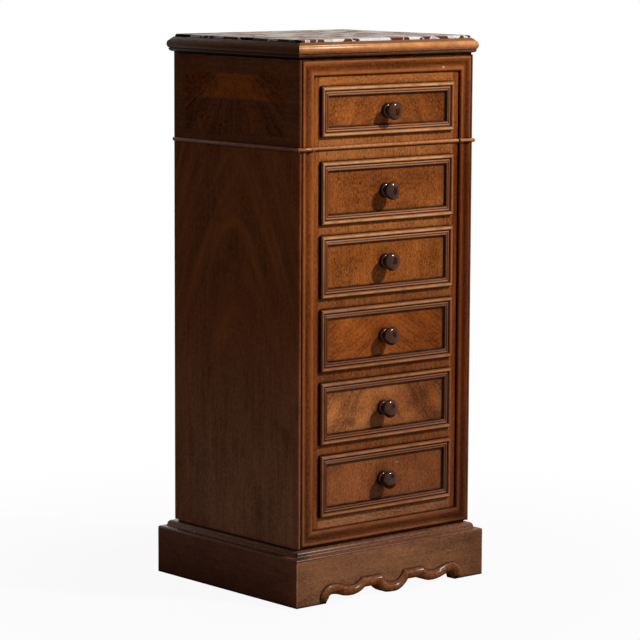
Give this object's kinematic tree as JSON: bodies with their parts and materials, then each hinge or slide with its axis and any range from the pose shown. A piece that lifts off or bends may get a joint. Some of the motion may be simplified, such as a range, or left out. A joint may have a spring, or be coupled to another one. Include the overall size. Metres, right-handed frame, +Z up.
{
  "type": "semainier",
  "caption": "Tall narrow chest of drawers with moulded drawer fronts, turned wooden knobs, a stone slab top in a moulded cornice and a moulded plinth with a shaped front apron",
  "frame": {"origin": "bottom centre of the bounding box, on the floor", "axes": "+Z up, the drawer fronts face -Y, +X to the viewer's right when facing the front"},
  "size_m": [0.4736, 0.4294, 1.05],
  "materials": {
    "figured_walnut": "polished figured veneer, warm brown",
    "walnut": "polished, warm brown",
    "walnut_moulding": "polished, worn on the arrises, dark in the quirks",
    "dark_knob": "turned, dark and glossy",
    "secondary_wood": "planed, unpolished",
    "marble": "polished, grey white with dark red brown patches"
  },
  "bodies": {
    "carcass": {"side_panel_left": "figured_walnut", "side_panel_right": "figured_walnut", "stile_left": "walnut", "stile_right": "walnut", "top_rail": "walnut", "bottom_rail": "walnut", "divider_rails": "walnut", "plinth_front": "walnut", "plinth_left": "walnut", "plinth_right": "walnut", "frame_moulding": "walnut_moulding", "bead_moulding": "walnut_moulding", "cornice": "walnut_moulding", "plinth_moulding": "walnut_moulding", "apron_roll": "walnut_moulding", "back_boards": "secondary_wood", "bottom_board": "secondary_wood", "top_board": "secondary_wood", "drawer_runners": "secondary_wood", "drawer_guides": "secondary_wood", "drawer_stops": "secondary_wood", "plinth_back": "secondary_wood", "corner_blocks": "secondary_wood", "marble_top": "marble"},
    "drawer_1": {"drawer_1_front": "figured_walnut", "drawer_1_moulding": "walnut_moulding", "drawer_1_sides": "secondary_wood", "drawer_1_back": "secondary_wood", "drawer_1_bottom": "secondary_wood", "drawer_1_knob": "dark_knob"},
    "drawer_2": {"drawer_2_front": "figured_walnut", "drawer_2_moulding": "walnut_moulding", "drawer_2_sides": "secondary_wood", "drawer_2_back": "secondary_wood", "drawer_2_bottom": "secondary_wood", "drawer_2_knob": "dark_knob"},
    "drawer_3": {"drawer_3_front": "figured_walnut", "drawer_3_moulding": "walnut_moulding", "drawer_3_sides": "secondary_wood", "drawer_3_back": "secondary_wood", "drawer_3_bottom": "secondary_wood", "drawer_3_knob": "dark_knob"},
    "drawer_4": {"drawer_4_front": "figured_walnut", "drawer_4_moulding": "walnut_moulding", "drawer_4_sides": "secondary_wood", "drawer_4_back": "secondary_wood", "drawer_4_bottom": "secondary_wood", "drawer_4_knob": "dark_knob"},
    "drawer_5": {"drawer_5_front": "figured_walnut", "drawer_5_moulding": "walnut_moulding", "drawer_5_sides": "secondary_wood", "drawer_5_back": "secondary_wood", "drawer_5_bottom": "secondary_wood", "drawer_5_knob": "dark_knob"},
    "drawer_6": {"drawer_6_front": "figured_walnut", "drawer_6_moulding": "walnut_moulding", "drawer_6_sides": "secondary_wood", "drawer_6_back": "secondary_wood", "drawer_6_bottom": "secondary_wood", "drawer_6_knob": "dark_knob"}
  },
  "joints": [
    {"name": "drawer_1_slide", "type": "slide", "parent": "carcass", "child": "drawer_1", "axis": [0, -1, 0], "range_m": [0, 0.28]},
    {"name": "drawer_2_slide", "type": "slide", "parent": "carcass", "child": "drawer_2", "axis": [0, -1, 0], "range_m": [0, 0.28]},
    {"name": "drawer_3_slide", "type": "slide", "parent": "carcass", "child": "drawer_3", "axis": [0, -1, 0], "range_m": [0, 0.28]},
    {"name": "drawer_4_slide", "type": "slide", "parent": "carcass", "child": "drawer_4", "axis": [0, -1, 0], "range_m": [0, 0.28]},
    {"name": "drawer_5_slide", "type": "slide", "parent": "carcass", "child": "drawer_5", "axis": [0, -1, 0], "range_m": [0, 0.28]},
    {"name": "drawer_6_slide", "type": "slide", "parent": "carcass", "child": "drawer_6", "axis": [0, -1, 0], "range_m": [0, 0.28]}
  ]
}
